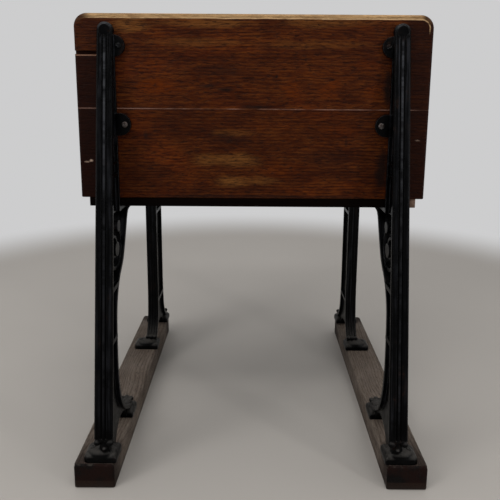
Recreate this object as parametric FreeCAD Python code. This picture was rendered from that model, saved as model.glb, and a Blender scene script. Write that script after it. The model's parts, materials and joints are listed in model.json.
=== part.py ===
import FreeCAD, Part
import math
import os
from FreeCAD import Vector

# A school desk: an oak box with a sloping lift lid on four cast-iron legs, which stand
# on two wooden runners.  Millimetres, +Z up, the pupil sits on the +Y side, and the
# origin is on the floor under the middle of the desk.

# ---- driving dimensions ------------------------------------------------------------
# Box
back_width = 600.0          # back board, end to end
back_thick = 20.0
upper_plank_height = 156.5
lower_plank_height = 154.5
back_corner_radius = 22.0
back_edge_round = 5.0
plank_arris = 0.8           # small chamfer along the edges that meet at a seam
box_depth = 440.0           # back face of the back board to front face of the front board
box_width = 565.0           # over the side panels
side_thick = 18.0
front_thick = 18.0
bottom_width = 572.0
bottom_thick = 16.0
bottom_recess = 2.0         # the bottom board's rear edge lies behind the back board's face
bottom_rear_plank = 215.0
bottom_height = 464.0       # floor to the underside of the bottom board
split_length = 38.0         # open split at the left end of the upper plank
split_height = 5.5
split_depth = 9.0
split_drop = 61.0           # from the top edge of the back board
split_bevel = 3.0

# Ledge and lid
ledge_thick = 20.0
ledge_depth = 95.0
gallery = 21.0              # the back board stands this much above the ledge
ledge_overhang = 8.0
lid_thick = 19.0
lid_slope = 9.0             # degrees
lid_front_overhang = 9.0
lid_rear_plank = 165.0
lid_nose_radius = 7.0
lid_joint_gap = 1.5
lid_seat_gap = 0.3
batten_width = 30.0
batten_thick = 14.0
batten_rear_inset = 28.0
batten_front_inset = 52.0
batten_spacing = 450.0
batten_arris = 3.0
groove_length = 300.0
groove_depth = 5.0
groove_width = 17.0
groove_inset = 30.0         # groove axis to the back board

# Inkwell
well_radius = 22.0
well_fit = 0.5
well_depth = 42.0
well_wall = 3.2
well_rim_radius = 27.0
well_rim_height = 4.5
well_mouth_radius = 10.0
well_side_inset = 58.0      # from the box's outer face
well_seat_gap = 0.3

# Hinges
hinge_spacing = 320.0
hinge_width = 60.0
hinge_leaf_depth = 34.0
hinge_thick = 2.5
hinge_corner = 3.0
hinge_pin_radius = 2.0
hinge_pin_fit = 0.05
hinge_knuckle_radius = 4.5
hinge_knuckle_gap = 0.3
hinge_rise = 1.0            # pin axis above the wood's top face
hinge_recess_fit = 0.2
hinge_swing_fit = 0.5

# Runners
runner_length = 610.0
runner_width = 68.5
runner_height = 44.5
runner_arris = 3.0
runner_outer_width = 598.0  # over both runners
runner_rear_reach = 118.0   # rear end of the runner to the back board's face

# Cast iron, shared
web_thick = 12.0
rim_thick = 6.0
leg_inner_face = 232.0      # from the middle of the desk to the legs' inner faces
rim_width = 25.0
flange_thick = 7.5
flange_bevel = 2.2
flute_half_pitch = 3.4
flute_half_width = 1.1
flute_depth = 1.8
bead_half_width = 1.3
bead_rise = 0.6

# Rear legs
rear_head_height = 776.0
rear_head_depth = 10.0
rear_head_proud = 3.0       # the head stands this much above the flange
rear_head_bevel = 4.0
rear_rake = 8.6             # degrees
rear_flange_top = 26.5
rear_flange_foot = 31.5
rear_bracket = 86.0
bracket_tip = 8.0
ankle_height = 88.0
rear_waist_height = 200.0
rear_waist_depth = 42.0
rear_back_rise = [(5, 80), (21, 125), (49, 153), (71, 175), (101, 230)]  # from the waist
rear_back_fall = [(8, 60), (41, 110)]
rear_sills = [(334, 44), (247, 38)]     # height and depth of each
sill_width = 7.0
opening_height = 338.0
volute_height = 396.0
volute_radius = 40.0
volute_bite = 2.0           # its overlap with the ribs that carry it
scroll_thick = 4.5
scroll_shrink = 0.7         # each turn's radius to the one before
scroll_proud = 1.5          # the scrolls stand this much above the web
eye_radius = 12.5
knob_radius = 10.0
knob_offset = 5.0

# Front legs
front_leg_setback = 346.0   # back board's face to the leg's rear edge
front_leg_depth = 75.0
front_bracket_rear = 42.0
front_bracket_front = 16.0
front_bracket_drop = 54.0
front_flare_height = 190.0
front_flare = 6.0
front_sills = [371, 148]
front_boss_height = 412.0

# Feet
sole_thick = 8.0
sole_inner_face = 228.0
sole_outer_face = 283.0
sole_length = 40.0
sole_corner = 13.0
toe_width = 29.0
toe_rise = 10.0
toe_bevel = 6.0
toe_inset = 14.0            # from the foot's end to the web's end
toe_height = 20.0
rear_foot_start = -113.0    # measured from the back board's face
rear_foot_end = 56.0
front_foot_start = 294.0
front_foot_end = 488.0
arch_height = 34.0

# Lugs
lug_thick = 7.0
upper_lug_height = 738.0
upper_lug_size = 35.0
upper_lug_reach = 214.5     # from the middle of the desk to the lug's tip
lower_lug_height = 607.5
lower_lug_size = 38.0
lower_lug_reach = 208.0
bracket_lug_size = 34.0
bracket_lug_reach = 212.0
bracket_lug_inset = 26.0    # from the bracket's tip to the lug's middle

# ---- heights and places that follow ------------------------------------------------
back_y = -runner_length / 2 + runner_rear_reach
box_left = -box_width / 2
floor_top = bottom_height + bottom_thick
seam_height = floor_top + lower_plank_height
back_top = seam_height + upper_plank_height
ledge_top = back_top - gallery
ledge_bottom = ledge_top - ledge_thick
inner_back_y = back_y + back_thick
front_y = back_y + box_depth
hinge_y = inner_back_y + ledge_depth + lid_joint_gap / 2
hinge_z = ledge_top + hinge_rise
slope = math.radians(lid_slope)
lid_length = (front_y + lid_front_overhang - hinge_y) / math.cos(slope)
lid_top = -hinge_rise
lid_bottom = lid_top - lid_thick
rake = math.tan(math.radians(rear_rake))
web_inner = leg_inner_face + (rim_width - web_thick) / 2
runner_inner = runner_outer_width / 2 - runner_width
well_x = box_left + well_side_inset
well_y = (inner_back_y + hinge_y) / 2

X_AXIS = Vector(1, 0, 0)
Y_AXIS = Vector(0, 1, 0)
Z_AXIS = Vector(0, 0, 1)
SIDES = {"left": -1, "right": 1}


# ---- helpers -----------------------------------------------------------------------
def box(x0, x1, y0, y1, z0, z1):
    return Part.makeBox(x1 - x0, y1 - y0, z1 - z0, Vector(x0, y0, z0))


def edges_where(shape, test):
    return [edge for edge in shape.Edges if test(edge)]


def on_plane(edge, axis, value):
    """True when every end of the edge has the given coordinate."""
    return all(abs(getattr(v.Point, axis) - value) < 1e-6 for v in edge.Vertexes)


def along(edge, axis):
    """True for a straight edge parallel to the axis x, y or z."""
    if len(edge.Vertexes) != 2 or not isinstance(edge.Curve, Part.Line):
        return False
    start, end = (v.Point for v in edge.Vertexes)
    return all(abs(getattr(start, a) - getattr(end, a)) < 1e-6 for a in "xyz" if a != axis)


def line(a, b):
    return Part.LineSegment(a, b).toShape()


def arc(a, middle, b):
    """The arc through three points, or a line where they lie on one."""
    if (middle - a).cross(b - a).Length < 1e-6:
        return line(a, b)
    return Part.Arc(a, middle, b).toShape()


def three_points(edge):
    """Start, middle and end of a line or an arc."""
    first, last = edge.ParameterRange
    return [edge.valueAt(place) for place in (first, (first + last) / 2, last)]


def tangent_arcs(points, direction):
    """Arcs through the points in turn, each tangent to the one before it.

    The first arc leaves the first point in the direction.
    """
    edges = []
    for start, end in zip(points, points[1:]):
        ahead = (end - start).normalize()
        across = direction - ahead * direction.dot(ahead)
        half_turn = math.atan2(across.Length, direction.dot(ahead)) / 2
        if across.Length > 0:
            across.normalize()
        rise = start.distanceToPoint(end) / 2 * math.tan(half_turn)
        edges.append(arc(start, (start + end) / 2 + across * rise, end))
        direction = ahead * (2 * direction.dot(ahead)) - direction
    return edges


def from_end(edges):
    """A chain of edges from its end to its start."""
    return [arc(*reversed(three_points(edge))) for edge in reversed(edges)]


def side_point(u, z):
    """A point of the leg drawings: u runs from the back board's face to the pupil."""
    return Vector(0, back_y + u, z)


def plate(edges, x0, x1):
    """A flat plate with the outline of the edges, between two planes of constant X."""
    face = Part.Face(Part.Wire(Part.__sortEdges__(edges)))
    solid = face.extrude(Vector(x1 - x0, 0, 0))
    solid.translate(Vector(x0, 0, 0))
    return solid


def polygon_plate(points, x0, x1):
    closed = points + points[:1]
    return plate([line(a, b) for a, b in zip(closed, closed[1:])], x0, x1)


def beside(edge, distance):
    """The line or arc at an even distance from another."""
    first, last = edge.ParameterRange
    places = (first, (first + last) / 2, last)
    return arc(*[edge.valueAt(place) + edge.tangentAt(place).cross(X_AXIS) * distance
                 for place in places])


def rib(edges, thick, x0, x1):
    """A band of even thickness beside a chain, between two planes of constant X."""
    inner = [beside(edge, thick) for edge in edges]
    closing = [line(chain[0], chain[1]) for chain in zip(chain_ends(edges), chain_ends(inner))]
    return plate(edges + inner + closing, x0, x1)


def chain_ends(edges):
    return [three_points(edges[0])[0], three_points(edges[-1])[2]]


def ring(u, z, outer, thick, x0, x1):
    """A ring whose axis runs along X."""
    centre = side_point(u, z) + Vector(x0, 0, 0)
    disc = Part.makeCylinder(outer, x1 - x0, centre, X_AXIS)
    return disc.cut(Part.makeCylinder(outer - thick, x1 - x0, centre, X_AXIS))


def half_ring(u, z, outer, thick, x0, x1, upper):
    """The upper or the lower half of a ring."""
    z0 = z - 2 * outer if upper else z
    y = back_y + u
    half = box(x0 - 1, x1 + 1, y - 2 * outer, y + 2 * outer, z0, z0 + 2 * outer)
    return ring(u, z, outer, thick, x0, x1).cut(half)


def boss(u, z, radius, x0, x1):
    """A round boss, its axis along X."""
    return Part.makeCylinder(radius, x1 - x0, side_point(u, z) + Vector(x0, 0, 0), X_AXIS)


def mirrored(shape):
    return shape.mirror(Vector(0, 0, 0), X_AXIS)


def side_copy(shape, side):
    return shape if SIDES[side] > 0 else mirrored(shape)


def revolved(points):
    """A solid of revolution about Z, from a closed outline of (radius, height) points."""
    corners = [Vector(radius, 0, height) for radius, height in points]
    return Part.Face(Part.makePolygon(corners + corners[:1])).revolve(
        Vector(0, 0, 0), Z_AXIS, 360)


def fuse_all(shapes):
    """One solid from overlapping shapes, its coplanar faces merged."""
    result = shapes[0]
    for shape in shapes[1:]:
        result = result.fuse(shape)
    return result.removeSplitter()


def save(name, shape):
    shape.exportStep("parts/" + name + ".step")


# ---- the lid's own frame -----------------------------------------------------------
def lid_frame(shape):
    """Moves a shape from the lid's frame, with the hinge axis at its origin, to the desk.

    In the lid's frame Y runs down the slope and Z is normal to the writing face.
    """
    moved = shape.copy()
    moved.rotate(Vector(0, 0, 0), X_AXIS, -lid_slope)
    moved.translate(Vector(0, hinge_y, hinge_z))
    return moved


def lid_seat_height(y):
    """Height of the plane that the lid seats on, just under the lid."""
    n = lid_bottom - lid_seat_gap
    s = (y - hinge_y - n * math.sin(slope)) / math.cos(slope)
    return hinge_z - s * math.sin(slope) + n * math.cos(slope)


# ---- lugs of the legs --------------------------------------------------------------
def lug(tip, size):
    """A half-round lug that lies flat in the XY plane and grows along +Z.

    Its root is inside the web, and its tip reaches towards the middle of the desk.
    """
    radius = size / 2
    root = web_inner + 2
    outline = [line(Vector(root, -radius, 0), Vector(tip + radius, -radius, 0)),
               arc(Vector(tip + radius, -radius, 0), Vector(tip, 0, 0),
                   Vector(tip + radius, radius, 0)),
               line(Vector(tip + radius, radius, 0), Vector(root, radius, 0)),
               line(Vector(root, radius, 0), Vector(root, -radius, 0))]
    return Part.Face(Part.Wire(outline)).extrude(Vector(0, 0, lug_thick))


def back_lug(tip, size, height):
    shape = lug(tip, size)
    shape.rotate(Vector(0, 0, 0), X_AXIS, 90)
    shape.translate(Vector(0, back_y, height))
    return shape


def bracket_lug(u):
    shape = lug(bracket_lug_reach, bracket_lug_size)
    shape.rotate(Vector(0, 0, 0), X_AXIS, 180)
    shape.translate(Vector(0, back_y + u, bottom_height))
    return shape


def toe_centres(start, end):
    return [start + sole_length / 2, end - sole_length / 2]


def front_bracket_lug_places():
    rear_end = front_leg_setback - front_bracket_rear
    front_end = front_leg_setback + front_leg_depth + front_bracket_front
    half = bracket_lug_size / 2
    return [rear_end + half + bracket_tip / 2, front_end - half - bracket_tip / 2]


# ---- wooden box --------------------------------------------------------------------
def back_plank(bottom, top):
    half = back_width / 2
    return box(-half, half, back_y, inner_back_y, bottom, top)


def back_board_upper():
    plank = back_plank(seam_height, back_top)
    corners = edges_where(plank, lambda e: along(e, "y") and on_plane(e, "z", back_top))
    plank = plank.makeFillet(back_corner_radius, corners)
    outer = edges_where(plank, lambda e: on_plane(e, "y", back_y)
                        and not on_plane(e, "z", seam_height))
    plank = plank.makeFillet(back_edge_round, outer)
    split_top = back_top - split_drop
    left = -back_width / 2
    split = box(left - 1, left + split_length, back_y - 1, back_y + split_depth,
                split_top - split_height, split_top)
    lip = Part.makePolygon([Vector(left - 1, back_y - 1, split_top - split_height),
                            Vector(left - 1, back_y + split_bevel, split_top - split_height),
                            Vector(left - 1, back_y - 1,
                                   split_top - split_height - split_bevel - 1),
                            Vector(left - 1, back_y - 1, split_top - split_height)])
    bevel = Part.Face(lip).extrude(Vector(split_length + 1, 0, 0))
    return plank.cut(split).cut(bevel)


def back_board_lower():
    plank = back_plank(floor_top, seam_height)
    ends = edges_where(plank, lambda e: along(e, "z") and on_plane(e, "y", back_y))
    plank = plank.makeFillet(back_edge_round, ends)
    seams = edges_where(plank, lambda e: along(e, "x") and on_plane(e, "y", back_y))
    return plank.makeChamfer(plank_arris, seams)


def side_panel():
    """The right side panel, level under the ledge and sloping under the lid."""
    front = front_y - front_thick
    corners = [(inner_back_y, floor_top), (front, floor_top), (front, lid_seat_height(front)),
               (hinge_y, lid_seat_height(hinge_y)), (hinge_y, ledge_bottom),
               (inner_back_y, ledge_bottom)]
    outline = [Vector(0, y, z) for y, z in corners]
    return polygon_plate(outline, box_width / 2 - side_thick, box_width / 2)


def front_board():
    rear = front_y - front_thick
    corners = [(rear, floor_top), (front_y, floor_top), (front_y, lid_seat_height(front_y)),
               (rear, lid_seat_height(rear))]
    outline = [Vector(0, y, z) for y, z in corners]
    return polygon_plate(outline, -box_width / 2, box_width / 2)


def bottom_board(start, end):
    half = bottom_width / 2
    board = box(-half, half, start, end, bottom_height, floor_top)
    arrises = edges_where(board, lambda e: along(e, "x") and on_plane(e, "z", bottom_height))
    return board.makeChamfer(plank_arris, arrises)


def pen_groove():
    """A round-bottomed trough."""
    radius = (groove_depth ** 2 + (groove_width / 2) ** 2) / (2 * groove_depth)
    end = Vector(-groove_length / 2, inner_back_y + groove_inset,
                 ledge_top + radius - groove_depth)
    return Part.makeCylinder(radius, groove_length, end, X_AXIS)


def hinge_centres():
    return [-hinge_spacing / 2, hinge_spacing / 2]


def leaf_recess(x, sign):
    """The housing of a hinge leaf, in a frame with the pin axis at its origin."""
    half = hinge_width / 2 + hinge_recess_fit
    reach = sign * (hinge_leaf_depth + hinge_recess_fit)
    top = -hinge_rise
    return box(x - half, x + half, min(0, reach), max(0, reach), top - hinge_thick, top + 1)


def knuckle_recess(x):
    half = hinge_width / 2 + hinge_recess_fit
    return Part.makeCylinder(hinge_knuckle_radius + hinge_swing_fit, 2 * half,
                             Vector(x - half, 0, 0), X_AXIS)


def at_hinge(shape):
    moved = shape.copy()
    moved.translate(Vector(0, hinge_y, hinge_z))
    return moved


def top_ledge():
    half = box_width / 2 + ledge_overhang
    front = hinge_y - lid_joint_gap / 2
    board = box(-half, half, inner_back_y, front, ledge_bottom, ledge_top)
    arrises = edges_where(board, lambda e: on_plane(e, "z", ledge_top)
                          and not on_plane(e, "y", inner_back_y))
    board = board.makeChamfer(plank_arris, arrises)
    well = Part.makeCylinder(well_radius + well_fit, ledge_thick + 2,
                             Vector(well_x, well_y, ledge_bottom - 1))
    board = board.cut(pen_groove()).cut(well)
    for x in hinge_centres():
        board = board.cut(at_hinge(leaf_recess(x, -1))).cut(at_hinge(knuckle_recess(x)))
    return board


# ---- lid ---------------------------------------------------------------------------
def lid_plank(start, end):
    half = box_width / 2 + ledge_overhang
    return box(-half, half, start, end, lid_bottom, lid_top)


def lid_board_rear():
    """The lid's rear plank; its rear edge is upright when the lid is shut."""
    start = lid_joint_gap / 2 * math.cos(slope)
    board = lid_plank(start, lid_rear_plank)
    arrises = edges_where(board, lambda e: along(e, "x") and on_plane(e, "z", lid_top))
    board = board.makeChamfer(plank_arris, arrises)
    for x in hinge_centres():
        board = board.cut(leaf_recess(x, 1)).cut(knuckle_recess(x))
    behind = box(-back_width, back_width, inner_back_y, hinge_y + lid_joint_gap / 2,
                 bottom_height, back_top)
    return lid_frame(board).cut(behind)


def lid_board_front():
    board = lid_plank(lid_rear_plank, lid_length)
    nose = edges_where(board, lambda e: along(e, "x") and on_plane(e, "y", lid_length))
    board = board.makeFillet(lid_nose_radius, nose)
    arris = edges_where(board, lambda e: along(e, "x") and on_plane(e, "y", lid_rear_plank)
                        and on_plane(e, "z", lid_top))
    return lid_frame(board.makeChamfer(plank_arris, arris))


def lid_batten(side):
    centre = SIDES[side] * batten_spacing / 2
    bar = box(centre - batten_width / 2, centre + batten_width / 2, batten_rear_inset,
              lid_length - batten_front_inset, lid_bottom - batten_thick, lid_bottom)
    lower = edges_where(bar, lambda e: on_plane(e, "z", lid_bottom - batten_thick))
    return lid_frame(bar.makeChamfer(batten_arris, lower))


# ---- hinges ------------------------------------------------------------------------
def knuckle(x, start, end):
    return Part.makeCylinder(hinge_knuckle_radius, end - start,
                             Vector(x + start, 0, 0), X_AXIS)


def hinge_leaf_solid(x, sign):
    """A hinge leaf with its knuckles, about the pin axis; the ledge leaf has two."""
    half = hinge_width / 2
    third = hinge_width / 6
    gap = hinge_knuckle_gap / 2
    top = -hinge_rise
    if sign < 0:
        knuckles = [(-half, -third - gap), (third + gap, half)]
        clear = [(-third - gap, third + gap)]
    else:
        knuckles = [(-third + gap, third - gap)]
        clear = [(-half, -third + gap), (third - gap, half)]
    reach = sign * hinge_leaf_depth
    leaf = box(x - half, x + half, min(0, reach), max(0, reach), top - hinge_thick, top)
    corner = edges_where(leaf, lambda e: along(e, "z") and on_plane(e, "y", reach))
    leaf = leaf.makeChamfer(hinge_corner, corner)
    swing = hinge_knuckle_radius + hinge_swing_fit
    for start, end in clear:
        leaf = leaf.cut(box(x + start, x + end, -swing, swing, -swing, swing))
    leaf = fuse_all([leaf] + [knuckle(x, start, end) for start, end in knuckles])
    bore = Part.makeCylinder(hinge_pin_radius + hinge_pin_fit, hinge_width + 2,
                             Vector(x - half - 1, 0, 0), X_AXIS)
    return leaf.cut(bore)


def hinge_leaf(side, sign):
    leaf = hinge_leaf_solid(SIDES[side] * hinge_spacing / 2, sign)
    return at_hinge(leaf) if sign < 0 else lid_frame(leaf)


def hinge_pin(side):
    start = Vector(SIDES[side] * hinge_spacing / 2 - hinge_width / 2, 0, 0)
    return at_hinge(Part.makeCylinder(hinge_pin_radius, hinge_width, start, X_AXIS))


# ---- inkwell -----------------------------------------------------------------------
def inkwell_pot():
    """A round pot with a wide rim and a narrow mouth."""
    inner = well_radius - well_wall
    outline = [(0, -well_depth), (well_radius, -well_depth), (well_radius, 0),
               (well_rim_radius, 0), (well_rim_radius, well_rim_height),
               (well_mouth_radius, well_rim_height), (well_mouth_radius, 0),
               (inner, 0), (inner, well_wall - well_depth), (0, well_wall - well_depth)]
    pot = revolved(outline)
    pot.translate(Vector(well_x, well_y, ledge_top + well_seat_gap))
    return pot


# ---- cast-iron legs ----------------------------------------------------------------
def rake_u(z):
    """Rear edge of a rear leg at a height, measured from the back board's face."""
    return -(rear_head_depth + (rear_head_height - z) * rake)


def flange_section(x0, x1, y, z):
    """Fluted flange in plan, with a bead between two flutes on its -Y face."""
    middle = (x0 + x1) / 2
    half = (x1 - x0) / 2
    one_side = [(half, flange_thick), (half, flange_bevel + bead_rise),
                (half - flange_bevel, bead_rise),
                (flute_half_pitch + flute_half_width, bead_rise),
                (flute_half_pitch, bead_rise + flute_depth),
                (flute_half_pitch - flute_half_width, bead_rise), (bead_half_width, 0)]
    profile = [(across, depth) for across, depth in one_side]
    profile += [(-across, depth) for across, depth in reversed(one_side)]
    corners = [Vector(middle + across, y + depth, z) for across, depth in profile]
    return Part.Wire(Part.makePolygon(corners + corners[:1]).Edges)


def rear_flange():
    top = rear_head_height - rear_flange_top / 2
    foot = ankle_height
    sections = [flange_section(leg_inner_face, leg_inner_face + width,
                               back_y + rake_u(z), z)
                for width, z in ((rear_flange_top, top), (rear_flange_foot, foot))]
    return Part.makeLoft(sections, True, True)


def rear_head():
    """The round head of a rear leg, flat where it lies on the back board."""
    radius = rear_flange_top / 2
    centre = Vector(leg_inner_face + radius, back_y, rear_head_height - radius)
    head = Part.makeCylinder(radius, rear_head_depth + rear_head_proud, centre, -Y_AXIS)
    rim = edges_where(head, lambda e: on_plane(e, "y", back_y - rear_head_depth
                                               - rear_head_proud))
    return head.makeChamfer(rear_head_bevel, rim)


def rear_back_curve():
    """The curved pupil-side edge of a rear leg, from the bracket's tip to the foot."""
    waist_u = rake_u(rear_waist_height) + rear_waist_depth
    waist = side_point(waist_u, rear_waist_height)
    rise = [waist] + [side_point(waist_u + u, rear_waist_height + z)
                      for u, z in rear_back_rise]
    rise.append(side_point(rear_bracket, bottom_height - bracket_tip))
    fall = [waist] + [side_point(waist_u + u, rear_waist_height - z)
                      for u, z in rear_back_fall]
    fall.append(side_point(rear_foot_end - toe_inset, runner_height + toe_height))
    return from_end(tangent_arcs(rise, Z_AXIS)) + tangent_arcs(fall, -Z_AXIS)


def foot_arch(start, end):
    """The arch between two toes, as one curved edge."""
    gap_start = start + sole_length
    gap_end = end - sole_length
    base = runner_height
    return arc(side_point(gap_end, base),
               side_point((gap_start + gap_end) / 2, base + arch_height),
               side_point(gap_start, base))


def rear_outline():
    """Outline of a rear leg in side view, without its flange and feet."""
    base = runner_height
    end = rear_foot_end - toe_inset
    neck = rear_head_height - rear_flange_top / 2
    inside = flange_thick / 2
    corners = {"top": side_point(0, neck), "board": side_point(0, bottom_height),
               "tip": side_point(rear_bracket, bottom_height),
               "tip_low": side_point(rear_bracket, bottom_height - bracket_tip),
               "toe": side_point(end, base + toe_height), "toe_low": side_point(end, base),
               "gap_end": side_point(rear_foot_end - sole_length, base),
               "gap_start": side_point(rear_foot_start + sole_length, base),
               "heel": side_point(rear_foot_start + toe_inset / 2, base),
               "ankle": side_point(rake_u(ankle_height) + inside, ankle_height),
               "neck": side_point(rake_u(neck) + inside, neck)}
    straight = [("top", "board"), ("board", "tip"), ("tip", "tip_low"), ("toe", "toe_low"),
                ("toe_low", "gap_end"), ("gap_start", "heel"), ("heel", "ankle"),
                ("ankle", "neck"), ("neck", "top")]
    return [line(corners[a], corners[b]) for a, b in straight] + rear_back_curve() + [
        foot_arch(rear_foot_start, rear_foot_end)]


def sill(u0, u1, z):
    """A flat cross rib that divides a leg's panels."""
    return box(leg_inner_face, leg_inner_face + rim_width, back_y + u0, back_y + u1,
               z - sill_width / 2, z + sill_width / 2)


def volute(u, z, radius):
    """A scroll: two half rings wind inwards from a full ring to a boss at its eye."""
    x0 = web_inner - scroll_proud
    x1 = web_inner + web_thick + scroll_proud
    first = (radius - rim_thick) * scroll_shrink
    second = first * scroll_shrink
    first_u = u - radius + rim_thick / 2 + first
    second_u = first_u + first - second
    eye_u = second_u - second + eye_radius
    return [ring(u, z, radius, rim_thick, x0, x1),
            half_ring(first_u, z, first, scroll_thick, x0, x1, True),
            half_ring(second_u, z, second, scroll_thick, x0, x1, False),
            boss(eye_u, z, eye_radius, leg_inner_face, leg_inner_face + rim_width)]


def sole(u):
    """The pad of one toe with its ear, rounded in plan."""
    pad = box(sole_inner_face, sole_outer_face, back_y + u - sole_length / 2,
              back_y + u + sole_length / 2, runner_height, runner_height + sole_thick)
    ear = edges_where(pad, lambda e: along(e, "z") and on_plane(e, "x", sole_outer_face))
    return pad.makeFillet(sole_corner, ear)


def toe(u):
    """The bevelled block of a toe on its sole."""
    base = runner_height + sole_thick
    block = box(leg_inner_face, leg_inner_face + toe_width, back_y + u - toe_width / 2,
                back_y + u + toe_width / 2, base, base + toe_rise)
    rim = edges_where(block, lambda e: on_plane(e, "z", base + toe_rise))
    return block.makeChamfer(toe_bevel, rim)


def board_rib():
    """The flat rib of a rear leg that lies on the back board."""
    return box(leg_inner_face, leg_inner_face + rim_width, back_y - rim_thick, back_y,
               bottom_height - bracket_tip, rear_head_height - rear_flange_top)


def rear_opening():
    """The pierced space of the rear bracket; the curved rib closes it on the pupil's side."""
    top = bottom_height - bracket_tip
    return polygon_plate([side_point(rake_u(top) + flange_thick, top),
                          side_point(rear_bracket, top),
                          side_point(rear_bracket, opening_height),
                          side_point(rake_u(opening_height) + flange_thick, opening_height)],
                         web_inner - 1, web_inner + web_thick + 1)


def rear_leg():
    """The right rear leg."""
    rim_end = leg_inner_face + rim_width
    outline = rear_outline()
    web = plate(outline, web_inner, web_inner + web_thick)
    rim = rib(rear_back_curve(), rim_thick, leg_inner_face, rim_end)
    shapes = [web.cut(rear_opening()), rear_flange(), rear_head(), board_rib(),
              rim.common(plate(outline, leg_inner_face, rim_end)),
              box(leg_inner_face, rim_end, back_y, back_y + rear_bracket,
                  bottom_height - bracket_tip, bottom_height)]
    volute_u = rake_u(volute_height) + flange_thick + volute_radius - volute_bite
    shapes += volute(volute_u, volute_height, volute_radius)
    shapes.append(boss(volute_u + knob_offset, volute_height + volute_radius - rim_thick / 2,
                       knob_radius, leg_inner_face, rim_end))
    for height, depth in rear_sills:
        edge = rake_u(height)
        shapes.append(sill(edge + flange_thick / 2, edge + depth, height))
    shapes += [sole(u) for u in toe_centres(rear_foot_start, rear_foot_end)]
    shapes += [toe(u) for u in toe_centres(rear_foot_start, rear_foot_end)]
    shapes += [back_lug(upper_lug_reach, upper_lug_size, upper_lug_height),
               back_lug(lower_lug_reach, lower_lug_size, lower_lug_height),
               bracket_lug(rear_bracket - bracket_lug_inset)]
    return fuse_all(shapes)


def front_edge(u, top_reach, toe_u, way):
    """One long edge of a front leg, from the bracket's tip to its toe."""
    shaft_low = side_point(u, front_flare_height)
    rise = [shaft_low, side_point(u, bottom_height - front_bracket_drop),
            side_point(u + way * top_reach, bottom_height - bracket_tip)]
    fall = [shaft_low,
            side_point(u + way * front_flare, (front_flare_height + runner_height) / 2),
            side_point(toe_u - way * toe_inset, runner_height + toe_height)]
    return from_end(tangent_arcs(rise, Z_AXIS)) + tangent_arcs(fall, -Z_AXIS)


def front_leg():
    """The right front leg."""
    rim_end = leg_inner_face + rim_width
    rear = front_leg_setback
    front = rear + front_leg_depth
    edges = [front_edge(rear, front_bracket_rear, front_foot_start, -1),
             front_edge(front, front_bracket_front, front_foot_end, 1)]
    rear_ends, front_ends = (chain_ends(edge) for edge in edges)
    up = Vector(0, 0, bracket_tip)
    down = Vector(0, 0, -toe_height)
    web = plate(edges[0] + edges[1]
                + [line(rear_ends[0], rear_ends[0] + up), line(front_ends[0], front_ends[0] + up),
                   line(rear_ends[0] + up, front_ends[0] + up),
                   line(rear_ends[1], rear_ends[1] + down),
                   line(front_ends[1], front_ends[1] + down),
                   line(rear_ends[1] + down, side_point(front_foot_start + sole_length,
                                                        runner_height)),
                   line(front_ends[1] + down, side_point(front_foot_end - sole_length,
                                                         runner_height)),
                   foot_arch(front_foot_start, front_foot_end)],
                web_inner, web_inner + web_thick)
    shapes = [web, rib(edges[0], -rim_thick, leg_inner_face, rim_end),
              rib(edges[1], rim_thick, leg_inner_face, rim_end),
              box(leg_inner_face, rim_end, rear_ends[0].y, front_ends[0].y,
                  bottom_height - bracket_tip, bottom_height),
              boss((rear + front) / 2, front_boss_height, eye_radius, leg_inner_face, rim_end)]
    shapes += [sill(rear + rim_thick / 2, front - rim_thick / 2, z) for z in front_sills]
    shapes += [sole(u) for u in toe_centres(front_foot_start, front_foot_end)]
    shapes += [toe(u) for u in toe_centres(front_foot_start, front_foot_end)]
    shapes += [bracket_lug(u) for u in front_bracket_lug_places()]
    return fuse_all(shapes)


# ---- runners -----------------------------------------------------------------------
def runner():
    half = runner_length / 2
    bar = box(runner_inner, runner_inner + runner_width, -half, half, 0, runner_height)
    upper = edges_where(bar, lambda e: on_plane(e, "z", runner_height))
    return bar.makeChamfer(runner_arris, upper)


# ---- output ------------------------------------------------------------------------
def main():
    os.makedirs("parts", exist_ok=True)
    save("back_board_upper", back_board_upper())
    save("back_board_lower", back_board_lower())
    save("front_board", front_board())
    split = back_y + bottom_recess + bottom_rear_plank
    save("bottom_board_rear", bottom_board(back_y + bottom_recess, split))
    save("bottom_board_front", bottom_board(split, front_y))
    save("top_ledge", top_ledge())
    save("lid_board_rear", lid_board_rear())
    save("lid_board_front", lid_board_front())
    save("inkwell_pot", inkwell_pot())
    pairs = {"side_panel": side_panel(), "rear_leg": rear_leg(), "front_leg": front_leg(),
             "runner": runner()}
    for side in SIDES:
        for name, shape in pairs.items():
            save(name + "_" + side, side_copy(shape, side))
        save("lid_batten_" + side, lid_batten(side))
        save("hinge_ledge_leaf_" + side, hinge_leaf(side, -1))
        save("hinge_lid_leaf_" + side, hinge_leaf(side, 1))
        save("hinge_pin_" + side, hinge_pin(side))


main()
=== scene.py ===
import json
import math
import bmesh
import bpy
from mathutils import Matrix, Vector

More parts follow.
